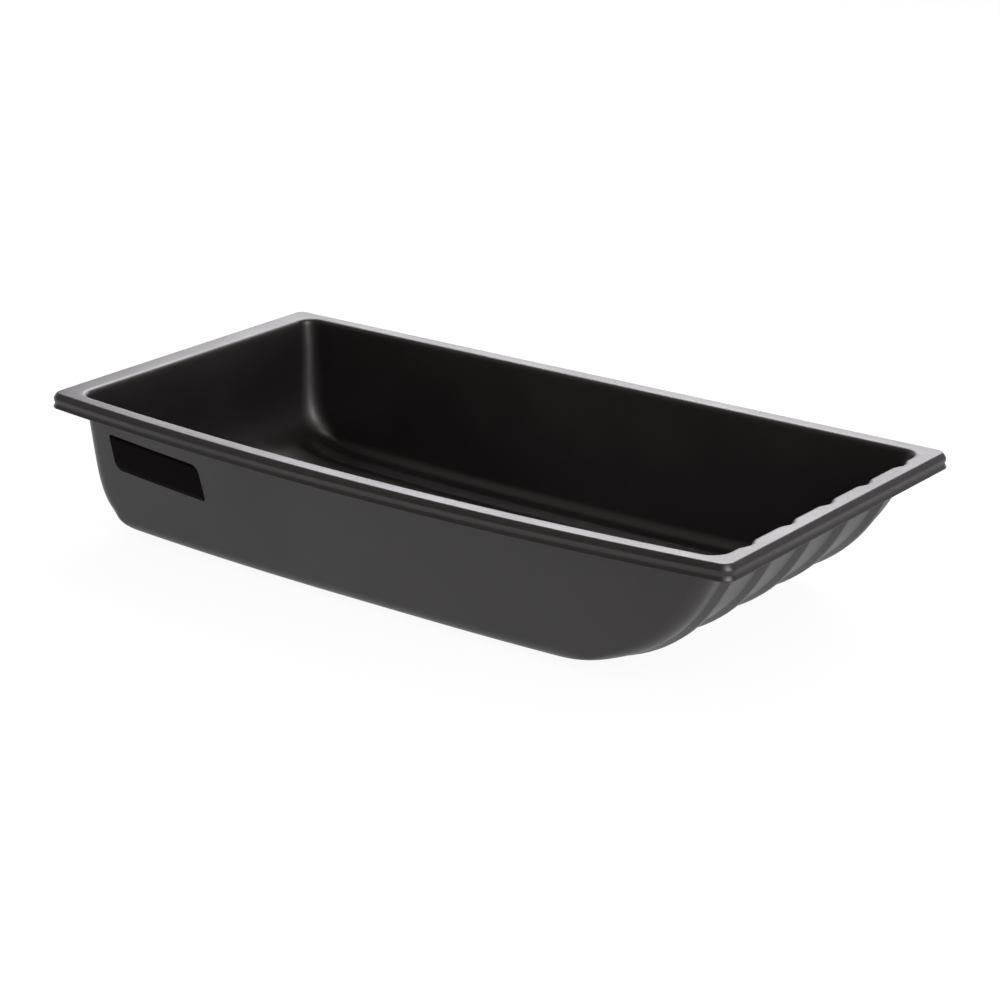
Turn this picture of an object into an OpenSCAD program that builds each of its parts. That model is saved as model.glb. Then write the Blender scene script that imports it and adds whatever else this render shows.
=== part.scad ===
// Tub sled for pulling gear over ice: one moulded plastic sheet and a blank side label.
// The nose points along +X, the soles of the runners lie on z = 0, and the origin is
// at the middle of the length and width.

/* [Rim] */
// Length over the lip
length = 1372; // [1100:1:1800]
// Width over the lip at the four corners
width = 652; // [560:1:860]
// Height from the runner soles to the rim at its corners
height = 252; // [180:1:340]
// Thickness of the moulded sheet
wall = 3.5; // [2.5:0.1:3.9]
// Width of the flange along the long sides, wall to outer edge
side_flange = 28; // [22:0.5:50]
// Width of the flange across the nose
nose_flange = 32; // [28:0.5:50]
// Width of the flange across the rear
rear_flange = 40; // [24:0.5:60]
// Run of the soft rounding from the wall into the flange
flange_round = 8; // [5:0.5:12]
// Radius of the outer top edge
lip_round = 4; // [4:0.5:7]
// Height of the turned-down lip
lip_drop = 28; // [22:0.5:45]
// How far the lip flares outward before its bead
lip_flare = 3; // [1:0.5:6]
// How far the bead stands proud of the lip
bead_proud = 3; // [1:0.5:5]
// Height of the bead along the bottom of the lip
bead_height = 15; // [6:0.5:16]
// Plan radius of the outer corners
rim_corner = 16; // [6:1:40]

/* [Walls] */
// How far each long wall leans in from the rim to its foot
side_lean = 11; // [4:0.5:30]
// Radius where the long walls turn into the floor
side_round = 19; // [12:1:24]
// Plan radius of the wall corners under the rim
wall_corner = 27; // [16:1:40]
// Plan radius of the floor corners
floor_corner = 6.5; // [5:0.5:10]
// Height over which the corner radius grows to its full size
corner_rise = 27; // [15:1:60]
// Plan radius of the rear corners low on the wall, where they are fullest
rear_corner = 36; // [20:1:60]

/* [Nose] */
// Length over which the floor sweeps up to the front rim
nose_run = 342; // [280:1:420]
// Pull of the sweep along the floor
nose_low = 246; // [150:1:260]
// Pull of the sweep down from the rim
nose_high = 108; // [40:1:130]
// Lean of the nose at the rim
nose_angle = 26; // [10:1:35]

/* [Rear] */
// Length over which the floor sweeps up to the rear rim
rear_run = 141; // [120:1:220]
// Pull of the sweep along the floor
rear_low = 166; // [80:1:170]
// Pull of the sweep down from the rim
rear_high = 141; // [60:1:145]
// Lean of the rear wall at the rim
rear_angle = 9.5; // [2:0.5:14]

/* [Runners] */
// Number of runners pressed into the floor
runner_count = 5; // [3:2:7]
// Width of a runner at its foot
runner_width = 50; // [36:1:60]
// Depth of a runner
runner_height = 7.5; // [4:0.5:10]
// Share of the runner's half width that its slope takes up
runner_slope = 0.83; // [0.6:0.01:0.9]
// Gap from the outer runner to the start of the side round
runner_margin = 14; // [9:0.5:40]
// Height over which the runners fade out up the rear wall
runner_fade = 20; // [15:5:130]

/* [Set of the sheet] */
// Outward bow of each long rim at mid length
side_bow = 24; // [0:0.5:40]
// Dip of the rim at mid length
rim_sag = 9; // [0:0.5:15]
// Rise of the floor line towards both ends
rocker = 16.5; // [0:0.5:18]
// Length of the level part of the soles
level_length = 160; // [120:10:400]

/* [Label] */
// Length of the blank label
label_length = 206; // [120:1:260]
// Height of the label
label_height = 60; // [40:1:80]
// Distance from the rear outer edge to the label
label_inset = 107.5; // [90:0.5:160]
// Distance from the rim top down to the label
label_below = 56; // [44:1:70]
// Forward slant of the label's ends over its height
label_slant = 10; // [0:1:20]
// Drop of the label over its length
label_drop = 8; // [0:0.5:14]
// Radius of its two tight corners
label_tight = 5; // [2:0.5:12]
// Radius of its two loose corners
label_loose = 14; // [6:0.5:20]
// Thickness of the label
label_thick = 0.4; // [0.3:0.05:0.8]
// Film of glue between the wall and the label
label_glue = 0.1; // [0.1:0.05:0.3]

/* [Hidden] */

// Mesh density
front_steps = 3;
level_steps = 2;
back_steps = 5;
side_steps = front_steps + level_steps + back_steps;
corner_steps = 5;
round_steps = 4;
wall_steps = 7;
wall_spread = 1.3;
edge_steps = 3;
bead_steps = 5;
label_steps = 12;
label_arc_steps = 5;

// Main lines of the sheet before it takes its bow, sag and rocker
lip_out = lip_flare + bead_proud;
half_len = length / 2 - lip_out;
half_wid = width / 2 - lip_out;
top = height - rocker;
floor_z = wall + runner_height;
wall_top = top - flange_round;
open_nose = half_len - nose_flange;
open_rear = half_len - rear_flange;
open_side = half_wid - side_flange;
foot = open_side - side_lean - side_round;
runner_edge = foot - runner_margin;
runner_gap = (2 * runner_edge - runner_width) / (runner_count - 1);

// Sweeps of the floor up to the nose and the rear, as [distance from the middle, height]
nose_curve = [
    [open_nose - nose_run, floor_z],
    [open_nose - nose_run + nose_low, floor_z],
    [open_nose - nose_high * sin(nose_angle), top - nose_high * cos(nose_angle)],
    [open_nose, top]
];
rear_curve = [
    [open_rear - rear_run, floor_z],
    [open_rear - rear_run + rear_low, floor_z],
    [open_rear - rear_high * sin(rear_angle), top - rear_high * cos(rear_angle)],
    [open_rear, top]
];

function clamp(v) = min(1, max(0, v));
function ease(v) = let (c = clamp(v)) c * c * (3 - 2 * c);
function mix(a, b, v) = a + (b - a) * v;
function flip(v) = [for (i = [len(v) - 1:-1:0]) v[i]];

// A straight ramp from 0 to 1 with both ends rounded over this share of it
ramp_round = 0.15;
function ramp(v) =
    let (c = clamp(v), e = ramp_round, bend = 2 * e * (1 - e))
    c < e ? c ^ 2 / bend : c > 1 - e ? 1 - (1 - c) ^ 2 / bend : (c - e / 2) / (1 - e);
function behind(d) = [d[1], -d[0]] / norm(d);

function sweep(c, t) =
    (1 - t) ^ 3 * c[0] + 3 * t * (1 - t) ^ 2 * c[1] + 3 * t ^ 2 * (1 - t) * c[2] + t ^ 3 * c[3];
function sweep_dir(c, t) =
    (1 - t) ^ 2 * (c[1] - c[0]) + 2 * t * (1 - t) * (c[2] - c[1]) + t ^ 2 * (c[3] - c[2]);
function sweep_at(c, z, lo = 0, hi = 1, n = 26) =
    let (mid = (lo + hi) / 2)
    n == 0 ? mid
    : sweep(c, mid)[1] < z ? sweep_at(c, z, mid, hi, n - 1)
    : sweep_at(c, z, lo, mid, n - 1);

// The long wall: a round from the floor, then a straight line to the rim
round_mid = [foot, floor_z + side_round];
to_rim = [open_side, top] - round_mid;
round_end = atan2(to_rim[1], to_rim[0]) - acos(side_round / norm(to_rim));
round_point = round_mid + side_round * [cos(round_end), sin(round_end)];
function long_wall(z) =
    let (s = clamp((round_mid[1] - z) / side_round))
    z < round_point[1] && z < round_mid[1]
    ? [foot + side_round * sqrt(1 - s * s), z]
    : [mix(round_point[0], open_side, clamp((z - round_point[1]) / (top - round_point[1]))), z];
function long_dir(z) =
    z < round_mid[1]
    ? [round_mid[1] - z, sqrt(max(0, side_round ^ 2 - (round_mid[1] - z) ^ 2))]
    : [open_side, top] - round_point;

// Heights of the rows up the wall
levels = concat(
    [for (i = [0:round_steps]) floor_z + side_round * (1 - cos(90 * i / round_steps))],
    [for (i = [1:wall_steps])
        mix(floor_z + side_round, wall_top, (i / wall_steps) ^ wall_spread)]
);

// A row holds the face point, the back point and the push that a runner gives it
function row(p, d, push) = [p, p + wall * behind(d), push];
function wall_rows(is_long, c) = [
    for (z = levels)
        let (t = is_long ? 0 : sweep_at(c, z))
        let (p = is_long ? long_wall(z) : [sweep(c, t)[0], z])
        let (d = is_long ? long_dir(z) : sweep_dir(c, t))
        row(p, d, behind(d))
];

// Soft rounding from the wall into the flange
function edge_rows(opening, start) = [
    for (i = [1:edge_steps])
        let (s = i / edge_steps, a = start, b = [opening, top], c = [opening + flange_round, top])
        row((1 - s) ^ 2 * a + 2 * s * (1 - s) * b + s ^ 2 * c, (1 - s) * (b - a) + s * (c - b), [1, 0])
];

// Flange, rounded top edge, flared lip and bead, from the outer edge line
bead_top = top - lip_drop + bead_height;
bead_mid = bead_top - bead_height / 2;
least_round = 0.4;
function lip_line(z) = lip_flare * clamp((top - lip_round - z) / (top - lip_round - bead_top));
function rim_rows(edge, opening) = concat(
    [let (m = (edge - lip_round + opening + flange_round) / 2) [[m, top], [m, top - wall], [0, 0]]],
    [for (a = [0:45:90])
        let (in = edge - lip_round, low = top - lip_round, r = max(least_round, lip_round - wall))
        [[in + lip_round * sin(a), low + lip_round * cos(a)], [in + r * sin(a), low + r * cos(a)],
         [0, 0]]],
    [[[edge + lip_line(bead_top), bead_top], [edge + lip_line(bead_top) - wall, bead_top], [0, 0]]],
    [for (i = [0:bead_steps])
        let (a = 60 - 30 * i, z = bead_mid + bead_height / 2 * sin(a))
        [[edge + lip_line(z) + bead_proud * cos(a), z], [edge + lip_line(z) - wall, z], [0, 0]]]
);

function side_of(is_long, c, opening, edge) =
    let (low = wall_rows(is_long, c))
    concat(low, edge_rows(opening, low[len(low) - 1][0]), rim_rows(edge, opening));
nose_side = side_of(false, nose_curve, open_nose, half_len);
rear_side = side_of(false, rear_curve, open_rear, half_len);
long_side = side_of(true, [], open_side, half_wid);
rows = len(long_side);
wall_row_count = len(levels);
rim_start = wall_row_count + edge_steps;

// Plan radius of the corner in each row: at the nose it is kept clear of the outer runner, and
// at the rear, where the runners have faded out, it swells low down and narrows towards the rim
corner_clear = 2;
corner_limit = runner_edge + corner_clear;
function corner_radius(k, ahead) =
    let (y = long_side[k][0][0], z = long_side[k][0][1] - floor_z)
    let (narrow = ease((z - corner_rise) / (wall_top - floor_z - corner_rise)))
    let (full = ahead > 0 ? wall_corner : mix(rear_corner, wall_corner, narrow))
    let (grown = mix(floor_corner, full, ease(z / corner_rise)))
    k < wall_row_count ? (ahead > 0 ? min(grown, y - corner_limit) : grown)
    : y < half_wid - lip_round ? min(wall_corner + y - open_side, y - corner_limit)
    : rim_corner + y - half_wid;

// Stations along the floor, with one at each end of the level part
floor_front = nose_curve[0][0] - corner_radius(0, 1);
floor_back = corner_radius(0, -1) - rear_curve[0][0];
function station(i) =
    let (level = level_length / 2, past = i - front_steps - level_steps)
    i <= front_steps ? mix(floor_front, level, i / front_steps)
    : past <= 0 ? mix(level, -level, (i - front_steps) / level_steps)
    : mix(-level, floor_back, past / back_steps);
function share(i) = (floor_front - station(i)) / (floor_front - floor_back);

// Cross section of the runners: 1 on a crest, 0 between them
function runner(y) =
    let (half = runner_width / 2, mid = (runner_count - 1) / 2)
    let (k = max(-mid, min(mid, round(y / runner_gap))))
    ramp((1 - abs(y - k * runner_gap) / half) / runner_slope);
runner_marks = [1, 1 - ramp_round * runner_slope, 1 - runner_slope];
runner_lines = [
    for (k = [0:runner_count - 1])
        for (mark = concat(-runner_marks, flip(runner_marks)))
            (k - (runner_count - 1) / 2) * runner_gap + mark * runner_width / 2
];
function cross_lines(y) = concat([-y], runner_lines, [y]);

// Bow of the sides, sag of the rim and rocker of the floor
function along(x) = max(0, 1 - (x / (half_len - lip_round)) ^ 2);
function along_floor(x) =
    let (level = level_length / 2) max(0, 1 - (max(0, abs(x) - level) / (half_len - level)) ^ 2);
function set_sheet(p, on_rim = false) =
    let (up = on_rim ? 1 : clamp((p[2] - floor_z) / (top - floor_z)), g = along(p[0]))
    [
        p[0],
        p[1] * (1 + side_bow * g * up / half_wid),
        p[2] + rocker - mix(rocker * along_floor(p[0]), rim_sag * g, up)
    ];

// One closed row of the sheet, nose, far side, rear, near side; s is 0 for the face, 1 for the back
function runner_push(side, k, y, fade) =
    runner_height * runner(y) * fade * side[k][2];
function arc(k, s, ahead, start, turn) = [
    for (i = [1:corner_steps - 1])
        let (end = ahead > 0 ? nose_side[k][s] : rear_side[k][s], flank = long_side[k][s])
        let (grow = flank[0] - long_side[k][0][0], r = corner_radius(k, ahead) + grow)
        let (a = start + 90 * i / corner_steps)
        let (share = cos(a) ^ 2)
        [ahead * (end[0] - r) + r * cos(a), turn * (flank[0] - r) + r * sin(a),
         mix(flank[1], end[1], share)]
];
function cross_row(k, s, side, ahead, fade) =
    let (y = long_side[k][0][0] - corner_radius(k, ahead), p = side[k][s])
    let (squeeze = min(1, y / corner_limit))
    [for (q = cross_lines(y / squeeze))
        let (push = runner_push(side, k, q, fade))
        [ahead * (p[0] + push[0]), q * squeeze, p[1] + push[1]]];
function long_row(k, s, turn) =
    let (grow = long_side[k][s][0] - long_side[k][0][0])
    let (front = nose_side[k][s][0] - corner_radius(k, 1) - grow)
    let (back = corner_radius(k, -1) + grow - rear_side[k][s][0])
    [for (i = [0:side_steps])
        let (x = mix(front, back, share(i)))
        [x, turn * long_side[k][s][0], long_side[k][s][1]]];
function ring(k, s) =
    let (fade = 1 - ease((long_side[k][0][1] - floor_z) / runner_fade))
    concat(
        cross_row(k, s, nose_side, 1, 1),
        arc(k, s, 1, 0, 1),
        long_row(k, s, 1),
        arc(k, s, -1, 90, 1),
        flip(cross_row(k, s, rear_side, -1, fade)),
        arc(k, s, -1, 180, -1),
        flip(long_row(k, s, -1)),
        arc(k, s, 1, 270, -1)
    );

// The flat of the floor inside the lowest row
function floor_points(s) =
    let (z = floor_z - s * wall)
    [for (i = [0:side_steps])
        for (y = cross_lines(foot - corner_radius(0, 1)))
            [station(i), y, z - runner_height * runner(y)]];

lanes = len(runner_lines) + 2;
around = len(ring(0, 0));
face_size = rows * around;
floor_size = (side_steps + 1) * lanes;
sheet_points = [
    for (s = [0:1]) for (k = [0:rows - 1]) for (p = ring(k, s)) set_sheet(p, k >= rim_start),
    for (s = [0:1]) for (p = floor_points(s)) set_sheet(p)
];

function quad(a, b, c, d) = [[a, b, c], [a, c, d]];
function turned(faces) = [for (f = faces) [f[2], f[1], f[0]]];
function at(s, k, c) = s * face_size + k * around + (c + around) % around;
function on_floor(s, i, j) = 2 * face_size + s * floor_size + i * lanes + j;

// Where each stretch of a row starts
far_arc = lanes - 1;
far_side = far_arc + corner_steps;
rear_far_arc = far_side + side_steps;
rear_start = rear_far_arc + corner_steps;
rear_near_arc = rear_start + lanes - 1;
near_side = rear_near_arc + corner_steps;
near_arc = near_side + side_steps;

function fan(s, hub, first) = [
    for (i = [0:corner_steps - 1]) [hub, at(s, 0, first + i), at(s, 0, first + i + 1)]
];
function floor_faces(s) = concat(
    [for (i = [0:side_steps - 1]) for (j = [0:lanes - 2])
        each quad(on_floor(s, i, j), on_floor(s, i, j + 1),
            on_floor(s, i + 1, j + 1), on_floor(s, i + 1, j))],
    [for (j = [0:lanes - 2])
        each quad(at(s, 0, j), at(s, 0, j + 1), on_floor(s, 0, j + 1), on_floor(s, 0, j))],
    [for (j = [0:lanes - 2])
        each quad(on_floor(s, side_steps, j), on_floor(s, side_steps, j + 1),
            at(s, 0, rear_start + lanes - 2 - j), at(s, 0, rear_start + lanes - 1 - j))],
    [for (i = [0:side_steps - 1])
        each quad(on_floor(s, i, lanes - 1), at(s, 0, far_side + i), at(s, 0, far_side + i + 1),
            on_floor(s, i + 1, lanes - 1))],
    [for (i = [0:side_steps - 1])
        each quad(at(s, 0, near_arc - i), on_floor(s, i, 0), on_floor(s, i + 1, 0),
            at(s, 0, near_arc - i - 1))],
    fan(s, on_floor(s, 0, lanes - 1), far_arc),
    fan(s, on_floor(s, side_steps, lanes - 1), rear_far_arc),
    fan(s, on_floor(s, side_steps, 0), rear_near_arc),
    fan(s, on_floor(s, 0, 0), near_arc)
);
function wall_faces(s) = [
    for (k = [0:rows - 2]) for (c = [0:around - 1])
        each quad(at(s, k, c), at(s, k + 1, c), at(s, k + 1, c + 1), at(s, k, c + 1))
];
edge_faces = [
    for (c = [0:around - 1])
        each quad(at(0, rows - 1, c), at(1, rows - 1, c), at(1, rows - 1, c + 1), at(0, rows - 1, c + 1))
];

module tub_shell() {
    color([0.17, 0.17, 0.18])
        polyhedron(
            points = sheet_points,
            faces = concat(
                turned(wall_faces(0)),
                turned(floor_faces(0)),
                wall_faces(1),
                floor_faces(1),
                turned(edge_faces)
            ),
            convexity = 12
        );
}

// The label lies on the near long wall and follows its bow
label_x = -half_len + label_inset;
label_z = top - label_below - label_height;
function label_edge(u, near_r, far_r) =
    let (a = max(0, near_r - u), b = max(0, far_r - (label_length - u)))
    a > 0 ? near_r - sqrt(near_r ^ 2 - a ^ 2)
    : b > 0 ? far_r - sqrt(far_r ^ 2 - b ^ 2)
    : 0;
function on_wall(u, v, off) =
    let (z = label_z + v - label_drop * u / label_length)
    let (p = long_wall(z) + (wall + off) * behind(long_dir(z)))
    set_sheet([label_x + u + label_slant * (1 - v / label_height), -p[0], p[1]]);
label_stations = concat(
    [for (i = [0:label_arc_steps]) label_loose * (1 - cos(90 * i / label_arc_steps))],
    [for (i = [1:label_steps - 1]) mix(label_loose, label_length - label_loose, i / label_steps)],
    [for (i = [0:label_arc_steps]) label_length - label_loose * (1 - sin(90 * i / label_arc_steps))]
);
label_columns = len(label_stations);
label_last = 4 * (label_columns - 1);
label_points = [
    for (u = label_stations)
        let (low = label_edge(u, label_loose, label_tight))
        let (high = label_height - label_edge(u, label_tight, label_loose))
        each [
            on_wall(u, low, label_glue), on_wall(u, high, label_glue),
            on_wall(u, high, label_glue + label_thick), on_wall(u, low, label_glue + label_thick)
        ]
];
label_faces = concat(
    [[0, 1, 2], [0, 2, 3]],
    [for (i = [0:label_columns - 2]) for (j = [0:3])
        let (a = 4 * i, b = 4 * (i + 1), n = (j + 1) % 4)
        each quad(a + j, b + j, b + n, a + n)],
    [[label_last + 2, label_last + 1, label_last], [label_last + 3, label_last + 2, label_last]]
);

module side_label() {
    color([0.08, 0.06, 0.07])
        polyhedron(points = label_points, faces = label_faces, convexity = 4);
}

tub_shell();
side_label();
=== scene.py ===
import math

import bpy
import numpy as np
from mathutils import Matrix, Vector


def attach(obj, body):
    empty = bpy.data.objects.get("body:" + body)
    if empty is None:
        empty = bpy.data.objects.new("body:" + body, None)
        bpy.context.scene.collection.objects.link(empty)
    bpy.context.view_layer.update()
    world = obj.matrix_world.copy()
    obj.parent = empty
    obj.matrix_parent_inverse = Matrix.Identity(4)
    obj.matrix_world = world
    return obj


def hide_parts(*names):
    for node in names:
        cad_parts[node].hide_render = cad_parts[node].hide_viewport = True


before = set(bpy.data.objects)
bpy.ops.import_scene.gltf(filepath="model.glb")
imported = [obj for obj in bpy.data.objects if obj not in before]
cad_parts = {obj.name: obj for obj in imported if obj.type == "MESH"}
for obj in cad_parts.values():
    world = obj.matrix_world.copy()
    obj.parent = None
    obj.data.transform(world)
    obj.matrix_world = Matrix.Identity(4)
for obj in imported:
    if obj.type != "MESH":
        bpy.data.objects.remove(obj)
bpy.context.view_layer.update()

# The sheet's own values, as in the CAD source, in metres and degrees
LENGTH, WIDTH, HEIGHT, WALL = 1.372, 0.652, 0.252, 0.0035
SIDE_FLANGE, NOSE_FLANGE, REAR_FLANGE = 0.028, 0.032, 0.040
FLANGE_ROUND, LIP_ROUND, LIP_DROP = 0.008, 0.004, 0.028
LIP_FLARE, BEAD_PROUD, BEAD_HEIGHT, RIM_CORNER = 0.003, 0.003, 0.015, 0.016
SIDE_LEAN, SIDE_ROUND = 0.011, 0.019
WALL_CORNER, FLOOR_CORNER, CORNER_RISE, REAR_CORNER = 0.027, 0.0065, 0.027, 0.036
NOSE_RUN, NOSE_LOW, NOSE_HIGH, NOSE_ANGLE = 0.342, 0.246, 0.108, 26.0
REAR_RUN, REAR_LOW, REAR_HIGH, REAR_ANGLE = 0.141, 0.166, 0.141, 9.5
RUNNERS, RUNNER_WIDTH, RUNNER_HEIGHT = 5, 0.050, 0.0075
RUNNER_SLOPE, RUNNER_MARGIN, RUNNER_FADE, RAMP_ROUND = 0.83, 0.014, 0.020, 0.15
SIDE_BOW, RIM_SAG, ROCKER, LEVEL = 0.024, 0.009, 0.0165, 0.080

# Values that follow from them
LIP_OUT = LIP_FLARE + BEAD_PROUD
HALF_LEN = LENGTH / 2 - LIP_OUT
HALF_WID = WIDTH / 2 - LIP_OUT
TOP = HEIGHT - ROCKER
FLOOR = WALL + RUNNER_HEIGHT
OPEN_NOSE = HALF_LEN - NOSE_FLANGE
OPEN_REAR = HALF_LEN - REAR_FLANGE
OPEN_SIDE = HALF_WID - SIDE_FLANGE
FOOT = OPEN_SIDE - SIDE_LEAN - SIDE_ROUND
RUNNER_EDGE = FOOT - RUNNER_MARGIN
RUNNER_GAP = (2 * RUNNER_EDGE - RUNNER_WIDTH) / (RUNNERS - 1)
CORNER_LIMIT = RUNNER_EDGE + 0.002

# The lip's face: a bulge, a groove below it and a thin skirt, as distances out and down
LIP_TILT = math.radians(42)
LIP_PROFILE = [(0.0043, 0.0098), (0.0043, 0.0122), (0.0040, 0.0140), (0.0032, 0.0154),
               (0.0028, 0.0164), (0.0030, 0.0180), (0.0038, 0.0204), (0.0049, 0.0228),
               (0.0057, 0.0242), (0.0056, 0.0252)]
LIP_LOW = LIP_PROFILE[-1][1]
FLANGE_MARKS = (0.45, 0.8)
BACK_ROUND, EDGE_STEP = 0.0005, 0.0008

# How finely the sheet is drawn
SIDE_PARTS = (16, 8, 24)
CORNER_STEPS, RAMP_STEPS = 14, 5
ROUND_STEPS, WALL_STEPS, EDGE_STEPS, LIP_STEPS, BEAD_STEPS = 10, 30, 7, 6, 12


def mix(a, b, v):
    return a + (b - a) * v


def ease(v):
    v = np.clip(v, 0, 1)
    return v * v * (3 - 2 * v)


def ramp(v):
    """A straight ramp from 0 to 1 with both ends rounded."""
    v = np.clip(v, 0, 1)
    bend = 2 * RAMP_ROUND * (1 - RAMP_ROUND)
    middle = (v - RAMP_ROUND / 2) / (1 - RAMP_ROUND)
    return np.where(v < RAMP_ROUND, v ** 2 / bend,
                    np.where(v > 1 - RAMP_ROUND, 1 - (1 - v) ** 2 / bend, middle))


def sweep(run, low, high, angle, opening):
    """The curve from the floor up to the rim, as four control points."""
    start = opening - run
    lean = math.radians(angle)
    return np.array([(start, FLOOR), (start + low, FLOOR),
                     (opening - high * math.sin(lean), TOP - high * math.cos(lean)),
                     (opening, TOP)])


def sweep_rows(curve, levels):
    """Points and directions where the curve passes each height."""
    t = np.linspace(0, 1, 4001)[:, None]
    points = ((1 - t) ** 3 * curve[0] + 3 * t * (1 - t) ** 2 * curve[1]
              + 3 * t ** 2 * (1 - t) * curve[2] + t ** 3 * curve[3])
    at = np.interp(levels, points[:, 1], t[:, 0])[:, None]
    out = np.interp(levels, points[:, 1], points[:, 0])
    way = ((1 - at) ** 2 * (curve[1] - curve[0]) + 2 * at * (1 - at) * (curve[2] - curve[1])
           + at ** 2 * (curve[3] - curve[2]))
    return np.column_stack([out, levels]), way


def long_rows(levels):
    """Points and directions up a long wall: a round, then a straight line."""
    mid = np.array([FOOT, FLOOR + SIDE_ROUND])
    to_rim = np.array([OPEN_SIDE, TOP]) - mid
    end = math.atan2(to_rim[1], to_rim[0]) - math.acos(SIDE_ROUND / np.linalg.norm(to_rim))
    tangent = mid + SIDE_ROUND * np.array([math.cos(end), math.sin(end)])
    points, ways = [], []
    for z in levels:
        if z < min(mid[1], tangent[1]):
            drop = mid[1] - z
            reach = math.sqrt(max(0.0, SIDE_ROUND ** 2 - drop ** 2))
            points.append((FOOT + reach, z))
            ways.append((drop, reach))
        else:
            share = min(1, max(0, (z - tangent[1]) / (TOP - tangent[1])))
            points.append((mix(tangent[0], OPEN_SIDE, share), z))
            ways.append(np.array([OPEN_SIDE, TOP]) - tangent)
    return np.array(points), np.array(ways)


def behind(ways):
    ways = np.asarray(ways, float)
    return np.column_stack([ways[:, 1], -ways[:, 0]]) / np.linalg.norm(ways, axis=1)[:, None]


def wall_levels():
    turn = np.linspace(0, math.pi / 2, ROUND_STEPS + 1)
    steps = np.arange(1, WALL_STEPS + 1) / WALL_STEPS
    return np.concatenate([FLOOR + SIDE_ROUND * (1 - np.cos(turn)),
                           mix(FLOOR + SIDE_ROUND, TOP - FLANGE_ROUND, steps)])


def edge_rows(opening, start):
    """The soft rounding from the wall into the flange."""
    s = (np.arange(1, EDGE_STEPS + 1) / EDGE_STEPS)[:, None]
    corner = np.array([opening, TOP])
    end = np.array([opening + FLANGE_ROUND, TOP])
    points = (1 - s) ** 2 * start + 2 * s * (1 - s) * corner + s ** 2 * end
    return points, (1 - s) * (corner - start) + s * (end - corner)


def lip_line(z):
    return LIP_FLARE * np.clip((TOP - LIP_ROUND - z) / (LIP_DROP - BEAD_HEIGHT - LIP_ROUND), 0, 1)


def rim_rows(edge, opening):
    """Face and back points of the flange, the rounded edge and the lip."""
    inner, outer = opening + FLANGE_ROUND, edge - LIP_ROUND
    face = [(mix(inner, outer, s), TOP) for s in FLANGE_MARKS]
    back = [(x, TOP - WALL) for x, _ in face]
    for turn in np.linspace(0, math.pi / 2 - LIP_TILT, LIP_STEPS + 1):
        way = np.array([math.sin(turn), math.cos(turn)])
        face.append(np.array([outer, TOP - LIP_ROUND]) + LIP_ROUND * way)
        back.append(np.array([outer, TOP - LIP_ROUND]) + BACK_ROUND * way)
    start, bulge = face[-1], np.array([edge + LIP_PROFILE[0][0], TOP - LIP_PROFILE[0][1]])
    bend = np.array([bulge[0], start[1] - (bulge[0] - start[0]) / math.tan(LIP_TILT)])
    for s in np.arange(1, BEAD_STEPS + 1) / BEAD_STEPS:
        face.append((1 - s) ** 2 * start + 2 * s * (1 - s) * bend + s ** 2 * bulge)
    face += [(edge + out, TOP - down) for out, down in LIP_PROFILE[1:]]
    for _, z in face[len(back):]:
        back.append((edge + lip_line(z) - WALL, max(z, TOP - LIP_LOW + EDGE_STEP)))
    return np.array(face, float), np.array(back, float)


def side_of(rows, opening, edge):
    """All rows of one side: wall, rounding and rim, with the push that a runner gives each."""
    points, ways = rows
    round_points, round_ways = edge_rows(opening, points[-1])
    wall_back = points + WALL * behind(ways)
    round_back = round_points + WALL * behind(round_ways)
    rim_face, rim_back = rim_rows(edge, opening)
    push = np.concatenate([behind(ways), np.tile([1.0, 0.0], (EDGE_STEPS, 1)),
                           np.zeros((len(rim_face), 2))])
    return (np.concatenate([points, round_points, rim_face]),
            np.concatenate([wall_back, round_back, rim_back]), push)


LEVELS = wall_levels()
NOSE_CURVE = sweep(NOSE_RUN, NOSE_LOW, NOSE_HIGH, NOSE_ANGLE, OPEN_NOSE)
REAR_CURVE = sweep(REAR_RUN, REAR_LOW, REAR_HIGH, REAR_ANGLE, OPEN_REAR)
NOSE = side_of(sweep_rows(NOSE_CURVE, LEVELS), OPEN_NOSE, HALF_LEN)
REAR = side_of(sweep_rows(REAR_CURVE, LEVELS), OPEN_REAR, HALF_LEN)
FLANK = side_of(long_rows(LEVELS), OPEN_SIDE, HALF_WID)
ROWS = len(FLANK[0])
RIM_START = len(LEVELS) + EDGE_STEPS


def corner_radius(k, ahead):
    """Plan radius of the corners in a row; the rear ones are fullest low on the wall."""
    y, z = FLANK[0][k]
    if k < len(LEVELS):
        narrow = ease((z - FLOOR - CORNER_RISE) / (TOP - FLANGE_ROUND - FLOOR - CORNER_RISE))
        full = WALL_CORNER if ahead > 0 else mix(REAR_CORNER, WALL_CORNER, narrow)
        grown = mix(FLOOR_CORNER, full, ease((z - FLOOR) / CORNER_RISE))
        return min(grown, y - CORNER_LIMIT) if ahead > 0 else grown
    if y < HALF_WID - LIP_ROUND:
        return min(WALL_CORNER + y - OPEN_SIDE, y - CORNER_LIMIT)
    return RIM_CORNER + y - HALF_WID


def runner(y):
    """Cross section of the runners: 1 on a crest, 0 between them."""
    middle = (RUNNERS - 1) / 2
    nearest = np.clip(np.round(y / RUNNER_GAP), -middle, middle)
    return ramp((1 - np.abs(y - nearest * RUNNER_GAP) / (RUNNER_WIDTH / 2)) / RUNNER_SLOPE)


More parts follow.
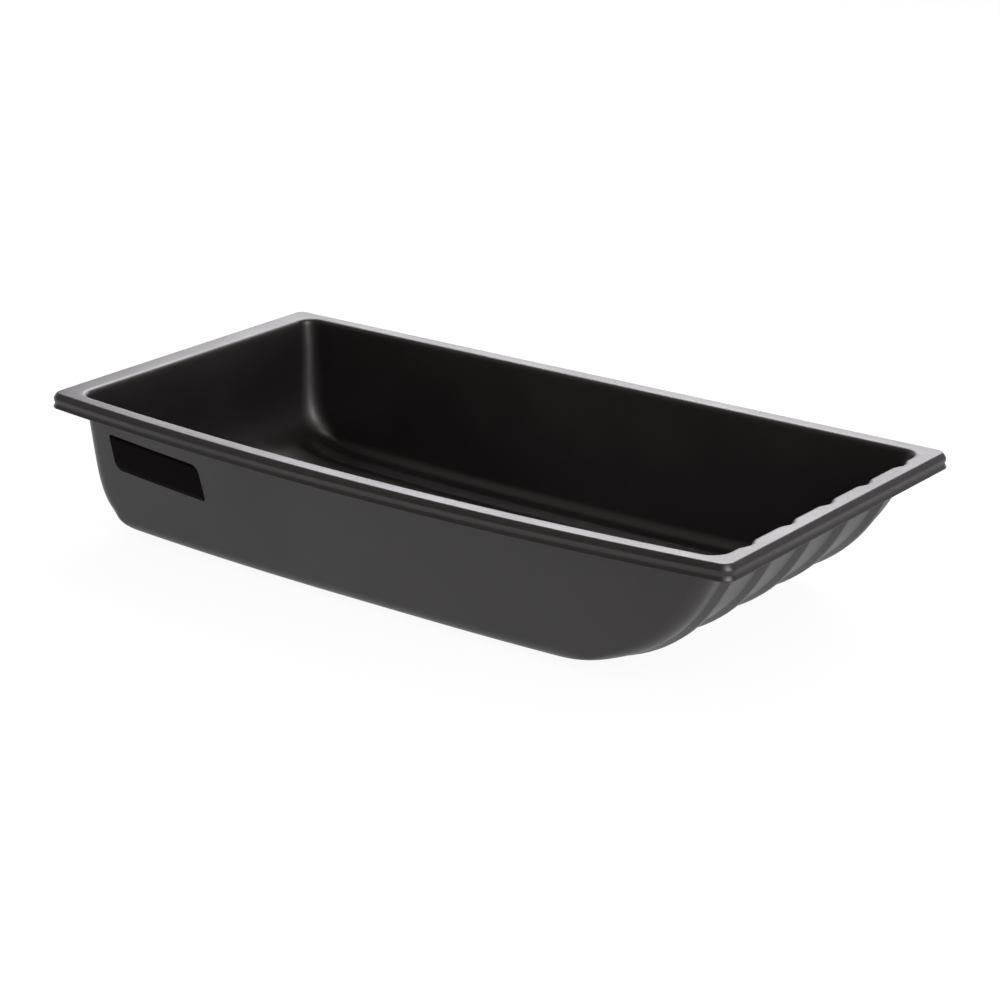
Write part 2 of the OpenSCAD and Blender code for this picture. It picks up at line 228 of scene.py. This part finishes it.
def runner_lines():
    """Lines across the floor, close together where a runner's slope bends."""
    bend = np.linspace(0, RAMP_ROUND, RAMP_STEPS + 1)
    rise = np.concatenate([bend, np.linspace(RAMP_ROUND, 1 - RAMP_ROUND, 4)[1:-1], 1 - bend[::-1]])
    marks = 1 - RUNNER_SLOPE * rise
    marks = np.concatenate([-marks, [0], marks[::-1]]) * RUNNER_WIDTH / 2
    lines = []
    for k in range(RUNNERS):
        middle = (k - (RUNNERS - 1) / 2) * RUNNER_GAP
        lines += list(middle + marks)
        if k < RUNNERS - 1:
            lines.append(middle + RUNNER_GAP / 2)
    return np.array(lines)


LINES = runner_lines()


def cross_lines(y):
    return np.concatenate([[-y], LINES, [y]])


def stations():
    front = NOSE_CURVE[0][0] - corner_radius(0, 1)
    rear = corner_radius(0, -1) - REAR_CURVE[0][0]
    a, b, c = SIDE_PARTS
    return np.concatenate([np.linspace(front, LEVEL, a + 1), np.linspace(LEVEL, -LEVEL, b + 1)[1:],
                           np.linspace(-LEVEL, rear, c + 1)[1:]])


STATIONS = stations()
SHARES = (STATIONS[0] - STATIONS) / (STATIONS[0] - STATIONS[-1])


def set_sheet(points, on_rim=False):
    """Bow of the sides, sag of the rim and rocker of the floor."""
    x, y, z = np.asarray(points, float).T
    up = np.ones_like(z) if on_rim else np.clip((z - FLOOR) / (TOP - FLOOR), 0, 1)
    along = np.maximum(0, 1 - (x / (HALF_LEN - LIP_ROUND)) ** 2)
    past = np.maximum(0, np.abs(x) - LEVEL) / (HALF_LEN - LEVEL)
    lower = mix(ROCKER * np.maximum(0, 1 - past ** 2), RIM_SAG * along, up)
    return np.column_stack([x, y * (1 + SIDE_BOW * along * up / HALF_WID), z + ROCKER - lower])


def cross_row(k, skin, side, ahead, fade):
    reach = FLANK[0][k][0] - corner_radius(k, ahead)
    squeeze = min(1, reach / CORNER_LIMIT)
    y = cross_lines(reach / squeeze)
    push = (RUNNER_HEIGHT * fade * runner(y))[:, None] * side[2][k]
    out = side[skin][k][0] + push[:, 0]
    return np.column_stack([ahead * out, y * squeeze, side[skin][k][1] + push[:, 1]])


def corner_row(k, skin, ahead, start, turn):
    side = NOSE if ahead > 0 else REAR
    end, flank = side[skin][k], FLANK[skin][k]
    radius = corner_radius(k, ahead) + flank[0] - FLANK[0][k][0]
    angle = np.radians(start + 90 * np.arange(1, CORNER_STEPS) / CORNER_STEPS)
    return np.column_stack([ahead * (end[0] - radius) + radius * np.cos(angle),
                            turn * (flank[0] - radius) + radius * np.sin(angle),
                            mix(flank[1], end[1], np.cos(angle) ** 2)])


def long_row(k, skin, turn):
    flank = FLANK[skin][k]
    grow = flank[0] - FLANK[0][k][0]
    front = NOSE[skin][k][0] - corner_radius(k, 1) - grow
    x = mix(front, corner_radius(k, -1) + grow - REAR[skin][k][0], SHARES)
    return np.column_stack([x, np.full(len(x), turn * flank[0]), np.full(len(x), flank[1])])


def ring(k, skin):
    fade = 1 - ease((FLANK[0][k][1] - FLOOR) / RUNNER_FADE)
    loop = [cross_row(k, skin, NOSE, 1, 1), corner_row(k, skin, 1, 0, 1),
            long_row(k, skin, 1), corner_row(k, skin, -1, 90, 1),
            cross_row(k, skin, REAR, -1, fade)[::-1], corner_row(k, skin, -1, 180, -1),
            long_row(k, skin, -1)[::-1], corner_row(k, skin, 1, 270, -1)]
    return set_sheet(np.concatenate(loop), k >= RIM_START)


def floor_grid(skin):
    y = cross_lines(FOOT - corner_radius(0, 1))
    xx, yy = np.meshgrid(STATIONS, y, indexing="ij")
    zz = FLOOR - skin * WALL - RUNNER_HEIGHT * runner(yy)
    return set_sheet(np.column_stack([xx.ravel(), yy.ravel(), zz.ravel()]))


def tub_mesh():
    """The whole sheet as points and faces."""
    lanes = len(LINES) + 2
    sides = len(STATIONS) - 1
    rings = [[ring(k, skin) for k in range(ROWS)] for skin in (0, 1)]
    around = len(rings[0][0])
    points = np.concatenate(rings[0] + rings[1] + [floor_grid(0), floor_grid(1)])
    first_floor = 2 * ROWS * around

    def at(skin, k, c):
        return skin * ROWS * around + k * around + c % around

    def on_floor(skin, i, j):
        return first_floor + skin * (sides + 1) * lanes + i * lanes + j

    far_arc = lanes - 1
    far_side = far_arc + CORNER_STEPS
    rear_far_arc = far_side + sides
    rear_start = rear_far_arc + CORNER_STEPS
    rear_near_arc = rear_start + lanes - 1
    near_arc = rear_near_arc + CORNER_STEPS + sides
    faces = []
    for skin in (0, 1):
        part = [(at(skin, k, c), at(skin, k + 1, c), at(skin, k + 1, c + 1), at(skin, k, c + 1))
                for k in range(ROWS - 1) for c in range(around)]
        part += [(on_floor(skin, i, j), on_floor(skin, i, j + 1),
                  on_floor(skin, i + 1, j + 1), on_floor(skin, i + 1, j))
                 for i in range(sides) for j in range(lanes - 1)]
        part += [(at(skin, 0, j), at(skin, 0, j + 1),
                  on_floor(skin, 0, j + 1), on_floor(skin, 0, j))
                 for j in range(lanes - 1)]
        part += [(on_floor(skin, sides, j), on_floor(skin, sides, j + 1),
                  at(skin, 0, rear_start + lanes - 2 - j),
                  at(skin, 0, rear_start + lanes - 1 - j))
                 for j in range(lanes - 1)]
        part += [(on_floor(skin, i, lanes - 1), at(skin, 0, far_side + i),
                  at(skin, 0, far_side + i + 1), on_floor(skin, i + 1, lanes - 1))
                 for i in range(sides)]
        part += [(at(skin, 0, near_arc - i), on_floor(skin, i, 0), on_floor(skin, i + 1, 0),
                  at(skin, 0, near_arc - i - 1)) for i in range(sides)]
        for hub, first in ((on_floor(skin, 0, lanes - 1), far_arc),
                           (on_floor(skin, sides, lanes - 1), rear_far_arc),
                           (on_floor(skin, sides, 0), rear_near_arc),
                           (on_floor(skin, 0, 0), near_arc)):
            part += [(hub, at(skin, 0, first + i), at(skin, 0, first + i + 1))
                     for i in range(CORNER_STEPS)]
        faces += part if skin == 0 else [face[::-1] for face in part]
    last = ROWS - 1
    faces += [(at(0, last, c), at(1, last, c), at(1, last, c + 1), at(0, last, c + 1))
              for c in range(around)]
    return points, faces


def make_object(name, points, faces):
    mesh = bpy.data.meshes.new(name)
    mesh.from_pydata([tuple(p) for p in points], [], faces)
    mesh.validate()
    mesh.update()
    for polygon in mesh.polygons:
        polygon.use_smooth = True
    piece = bpy.data.objects.new(name, mesh)
    bpy.context.scene.collection.objects.link(piece)
    return piece


# Label values, as in the CAD source
LABEL_LENGTH, LABEL_HEIGHT, LABEL_INSET, LABEL_BELOW = 0.206, 0.060, 0.1075, 0.056
LABEL_SLANT, LABEL_DROP, LABEL_TIGHT, LABEL_LOOSE = 0.010, 0.008, 0.005, 0.014
LABEL_GLUE, LABEL_THICK = 0.0001, 0.0004
LABEL_X = -HALF_LEN + LABEL_INSET
LABEL_Z = TOP - LABEL_BELOW - LABEL_HEIGHT


def on_wall(u, v, off):
    z = LABEL_Z + v - LABEL_DROP * u / LABEL_LENGTH
    points, ways = long_rows([z])
    y, z = (points + (WALL + off) * behind(ways))[0]
    return set_sheet([(LABEL_X + u + LABEL_SLANT * (1 - v / LABEL_HEIGHT), -y, z)])[0]


def label_cut(u, start_radius, end_radius):
    """How far the label's edge is cut back by the rounding of its corners."""
    a, b = start_radius - u, end_radius - (LABEL_LENGTH - u)
    if a > 0:
        return start_radius - math.sqrt(max(0, start_radius ** 2 - a ** 2))
    if b > 0:
        return end_radius - math.sqrt(max(0, end_radius ** 2 - b ** 2))
    return 0.0


def label_mesh():
    turn = np.linspace(0, math.pi / 2, 13)
    us = np.concatenate([LABEL_LOOSE * (1 - np.cos(turn)),
                         np.linspace(LABEL_LOOSE, LABEL_LENGTH - LABEL_LOOSE, 26)[1:-1],
                         LABEL_LENGTH - LABEL_LOOSE * (1 - np.sin(turn))])
    across = 9
    points, faces = [], []
    for off in (LABEL_GLUE, LABEL_GLUE + LABEL_THICK):
        for u in us:
            low = label_cut(u, LABEL_LOOSE, LABEL_TIGHT)
            high = LABEL_HEIGHT - label_cut(u, LABEL_TIGHT, LABEL_LOOSE)
            points += [on_wall(u, mix(low, high, j / (across - 1)), off) for j in range(across)]
    size = len(us) * across
    for i in range(len(us) - 1):
        for j in range(across - 1):
            a = i * across + j
            faces.append((a, a + 1, a + across + 1, a + across))
            faces.append((size + a, size + a + across, size + a + across + 1, size + a + 1))
        for j, flip in ((0, False), (across - 1, True)):
            a = i * across + j
            face = (a, a + across, size + a + across, size + a)
            faces.append(face[::-1] if flip else face)
    for i, flip in ((0, True), (len(us) - 1, False)):
        for j in range(across - 1):
            a = i * across + j
            face = (a, a + 1, size + a + 1, size + a)
            faces.append(face[::-1] if flip else face)
    return points, faces


# Materials

class Nodes:
    """A short way to build a node material."""

    def __init__(self, name, tree=None):
        if tree is None:
            self.material = bpy.data.materials.new(name)
            self.material.use_nodes = True
            tree = self.material.node_tree
        self.tree = tree
        self.tree.nodes.clear()

    def add(self, kind, **values):
        node = self.tree.nodes.new(kind)
        for key, value in values.items():
            setattr(node, key, value)
        return node

    def link(self, source, target):
        self.tree.links.new(source, target)

    def value(self, operation, a, b=0.0, c=0.0):
        node = self.add("ShaderNodeMath", operation=operation)
        for socket, item in zip(node.inputs, (a, b, c)):
            if isinstance(item, bpy.types.NodeSocket):
                self.link(item, socket)
            else:
                socket.default_value = item
        return node.outputs[0]

    def ramp(self, factor, low, high, start=0.0, end=1.0):
        node = self.add("ShaderNodeMapRange", clamp=True)
        self.link(factor, node.inputs["Value"])
        limits = {"From Min": start, "From Max": end, "To Min": low, "To Max": high}
        for key, item in limits.items():
            node.inputs[key].default_value = item
        return node.outputs["Result"]

    def mix_value(self, factor, a, b):
        """a where the factor is 0, b where it is 1."""
        return self.value("ADD", self.value("MULTIPLY", self.value("SUBTRACT", 1.0, factor), a),
                          self.value("MULTIPLY", factor, b))

    def noise(self, vector, scale, detail=4.0, roughness=0.5):
        node = self.add("ShaderNodeTexNoise")
        self.link(vector, node.inputs["Vector"])
        node.inputs["Scale"].default_value = scale
        node.inputs["Detail"].default_value = detail
        node.inputs["Roughness"].default_value = roughness
        return node.outputs["Fac"]

    def blend(self, factor, a, b):
        node = self.add("ShaderNodeMix", data_type="RGBA")
        self.link(factor, node.inputs["Factor"])
        for socket, item in ((node.inputs[6], a), (node.inputs[7], b)):
            if isinstance(item, bpy.types.NodeSocket):
                self.link(item, socket)
            else:
                socket.default_value = (*item, 1.0)
        return node.outputs[2]

    def bump(self, height, strength, distance, normal=None):
        node = self.add("ShaderNodeBump")
        node.inputs["Strength"].default_value = strength
        node.inputs["Distance"].default_value = distance
        self.link(height, node.inputs["Height"])
        if normal:
            self.link(normal, node.inputs["Normal"])
        return node.outputs["Normal"]

    def shader(self, **sockets):
        node = self.add("ShaderNodeBsdfPrincipled")
        for key, item in sockets.items():
            socket = node.inputs[key.replace("_", " ")]
            if isinstance(item, bpy.types.NodeSocket):
                self.link(item, socket)
            else:
                socket.default_value = item
        out = self.add("ShaderNodeOutputMaterial")
        self.link(node.outputs["BSDF"], out.inputs["Surface"])
        return self.material


TUB_BLACK, TUB_WORN = (0.0024, 0.0017, 0.0016), (0.0036, 0.0028, 0.0026)
TUB_TINT = (1.0, 0.955, 1.0, 1.0)
LABEL_DARK, LABEL_LIGHT = (0.0018, 0.0009, 0.0012), (0.0026, 0.0014, 0.0018)


def tub_material():
    n = Nodes("formed_polyethylene")
    place = n.add("ShaderNodeTexCoord").outputs["Object"]
    grain = n.noise(place, 900, 3.0, 0.55)
    ripple = n.noise(place, 14, 2.0, 0.4)
    smudge = n.noise(place, 5.5, 5.0, 0.6)
    colour = n.blend(n.ramp(smudge, 0, 1, 0.35, 0.7), TUB_BLACK, TUB_WORN)
    rough_spots = n.value("ADD", smudge, n.value("MULTIPLY", grain, 0.35))
    roughness = n.ramp(rough_spots, 0.36, 0.50, 0.4, 1.0)
    soft = n.bump(ripple, 0.10, 0.004)
    return n.shader(Base_Color=colour, Roughness=roughness, IOR=1.54, Specular_Tint=TUB_TINT,
                    Normal=n.bump(grain, 0.22, 0.0005, soft))


def label_material():
    n = Nodes("label_film")
    place = n.add("ShaderNodeTexCoord").outputs["Object"]
    fibre = n.noise(place, 420, 2.0, 0.5)
    cloud = n.ramp(n.noise(place, 60, 3.0), 0, 1, 0.3, 0.7)
    return n.shader(Base_Color=n.blend(cloud, LABEL_DARK, LABEL_LIGHT),
                    Roughness=n.ramp(fibre, 0.46, 0.54), Specular_IOR_Level=0.02,
                    Normal=n.bump(fibre, 0.08, 0.0003))


def lit_surface(name, colour, own_light):
    """A pale surface that the camera and glossy rays see partly by its own light."""
    n = Nodes(name)
    path = n.add("ShaderNodeLightPath")
    seen = n.value("MAXIMUM", path.outputs["Is Camera Ray"], path.outputs["Is Glossy Ray"])
    seen = n.value("MAXIMUM", seen, path.outputs["Is Transmission Ray"])
    plain = n.add("ShaderNodeBsdfDiffuse")
    plain.inputs["Color"].default_value = (*colour, 1.0)
    glow = n.add("ShaderNodeEmission")
    glow.inputs["Color"].default_value = (1.0, 1.0, 1.0, 1.0)
    glow.inputs["Strength"].default_value = 1.0
    join = n.add("ShaderNodeMixShader")
    n.link(n.value("MULTIPLY", seen, own_light), join.inputs["Fac"])
    n.link(plain.outputs[0], join.inputs[1])
    n.link(glow.outputs[0], join.inputs[2])
    out = n.add("ShaderNodeOutputMaterial")
    n.link(join.outputs[0], out.inputs["Surface"])
    return n.material


# Pieces

tub = make_object("tub_sheet", *tub_mesh())
tub.data.materials.append(tub_material())
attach(tub, "root")
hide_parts("tub_shell")

label = make_object("label_film", *label_mesh())
label.data.materials.append(label_material())
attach(label, "root")
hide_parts("side_label")

# Stage, light and camera

FLOOR_SIZE, FLOOR_DROP = 60.0, 0.0005
floor_corners = [(x * FLOOR_SIZE, y * FLOOR_SIZE, -FLOOR_DROP)
                 for x, y in ((-1, -1), (1, -1), (1, 1), (-1, 1))]
floor = make_object("studio_floor", floor_corners, [(0, 1, 2, 3)])
floor.data.materials.append(lit_surface("pale_floor", (0.88, 0.88, 0.88), 0.93))


# What the studio shows to glossy rays: bright low behind the sled, dim above it and in front
BACK_GLOW, FRONT_GLOW, TOP_GLOW, ROOM_LIGHT = 0.80, 0.25, 0.40, 0.65
FRONT_TINT = (1.0, 0.84, 0.74)


def make_world():
    world = bpy.data.worlds.new("studio")
    bpy.context.scene.world = world
    world.use_nodes = True
    n = Nodes("studio_nodes", world.node_tree)
    way = n.add("ShaderNodeTexCoord").outputs["Generated"]
    split = n.add("ShaderNodeSeparateXYZ")
    n.link(way, split.inputs[0])
    x, y, z = split.outputs
    behind = n.value("SUBTRACT", n.value("MULTIPLY", y, 0.80), n.value("MULTIPLY", x, 0.60))
    to_back = n.ramp(behind, 0, 1, -0.25, 0.45)
    around = n.mix_value(to_back, FRONT_GLOW, BACK_GLOW)
    glossy = n.mix_value(n.ramp(z, 0, 1, 0.35, 0.80), around, TOP_GLOW)
    path = n.add("ShaderNodeLightPath").outputs
    seen = n.value("MAXIMUM", path["Is Camera Ray"], path["Is Transmission Ray"])
    level = n.mix_value(path["Is Glossy Ray"], ROOM_LIGHT, glossy)
    level = n.mix_value(seen, level, 1.0)
    back = n.add("ShaderNodeBackground")
    white = n.value("MAXIMUM", n.value("SUBTRACT", 1.0, path["Is Glossy Ray"]), to_back)
    white = n.value("MAXIMUM", white, seen)
    n.link(n.blend(white, FRONT_TINT, (1.0, 1.0, 1.0)), back.inputs["Color"])
    n.link(level, back.inputs["Strength"])
    n.link(back.outputs[0], n.add("ShaderNodeOutputWorld").inputs["Surface"])


def make_lamp(name, place, aim, size, power, colour):
    data = bpy.data.lights.new(name, "AREA")
    data.shape = "RECTANGLE"
    data.size, data.size_y = size
    data.energy = power
    data.color = colour
    lamp = bpy.data.objects.new(name, data)
    lamp.location = place
    lamp.rotation_euler = (Vector(place) - Vector(aim)).to_track_quat("Z", "Y").to_euler()
    lamp.visible_camera = False
    bpy.context.scene.collection.objects.link(lamp)


make_world()
make_lamp("back_softbox", (-1.6, 3.9, 3.1), (0, 0, 0.2), (4.9, 3.4), 290, (0.97, 0.96, 1.0))
make_lamp("top_softbox", (-1.4, 2.0, 3.4), (0, 0, 0), (1.6, 1.2), 80, (1.0, 0.94, 0.88))
make_lamp("side_softbox", (2.7, -1.3, 1.7), (-0.5, 0.2, 0.1), (1.1, 2.3), 105, (1.0, 0.99, 0.97))

CAMERA_PLACE = (2.65662, -3.45929, 1.66941)
AZIMUTH, ELEVATION, LENS = 37.2076, 19.6311, 100.49


def make_camera():
    turn, lift = math.radians(AZIMUTH), math.radians(ELEVATION)
    back = Vector((math.sin(turn) * math.cos(lift), -math.cos(turn) * math.cos(lift),
                   math.sin(lift)))
    data = bpy.data.cameras.new("camera")
    data.sensor_width = 36.0
    data.lens = LENS
    data.clip_end = 200.0
    camera = bpy.data.objects.new("camera", data)
    camera.location = CAMERA_PLACE
    camera.rotation_euler = back.to_track_quat("Z", "Y").to_euler()
    bpy.context.scene.collection.objects.link(camera)
    bpy.context.scene.camera = camera


make_camera()
bpy.context.scene.view_settings.view_transform = "Standard"
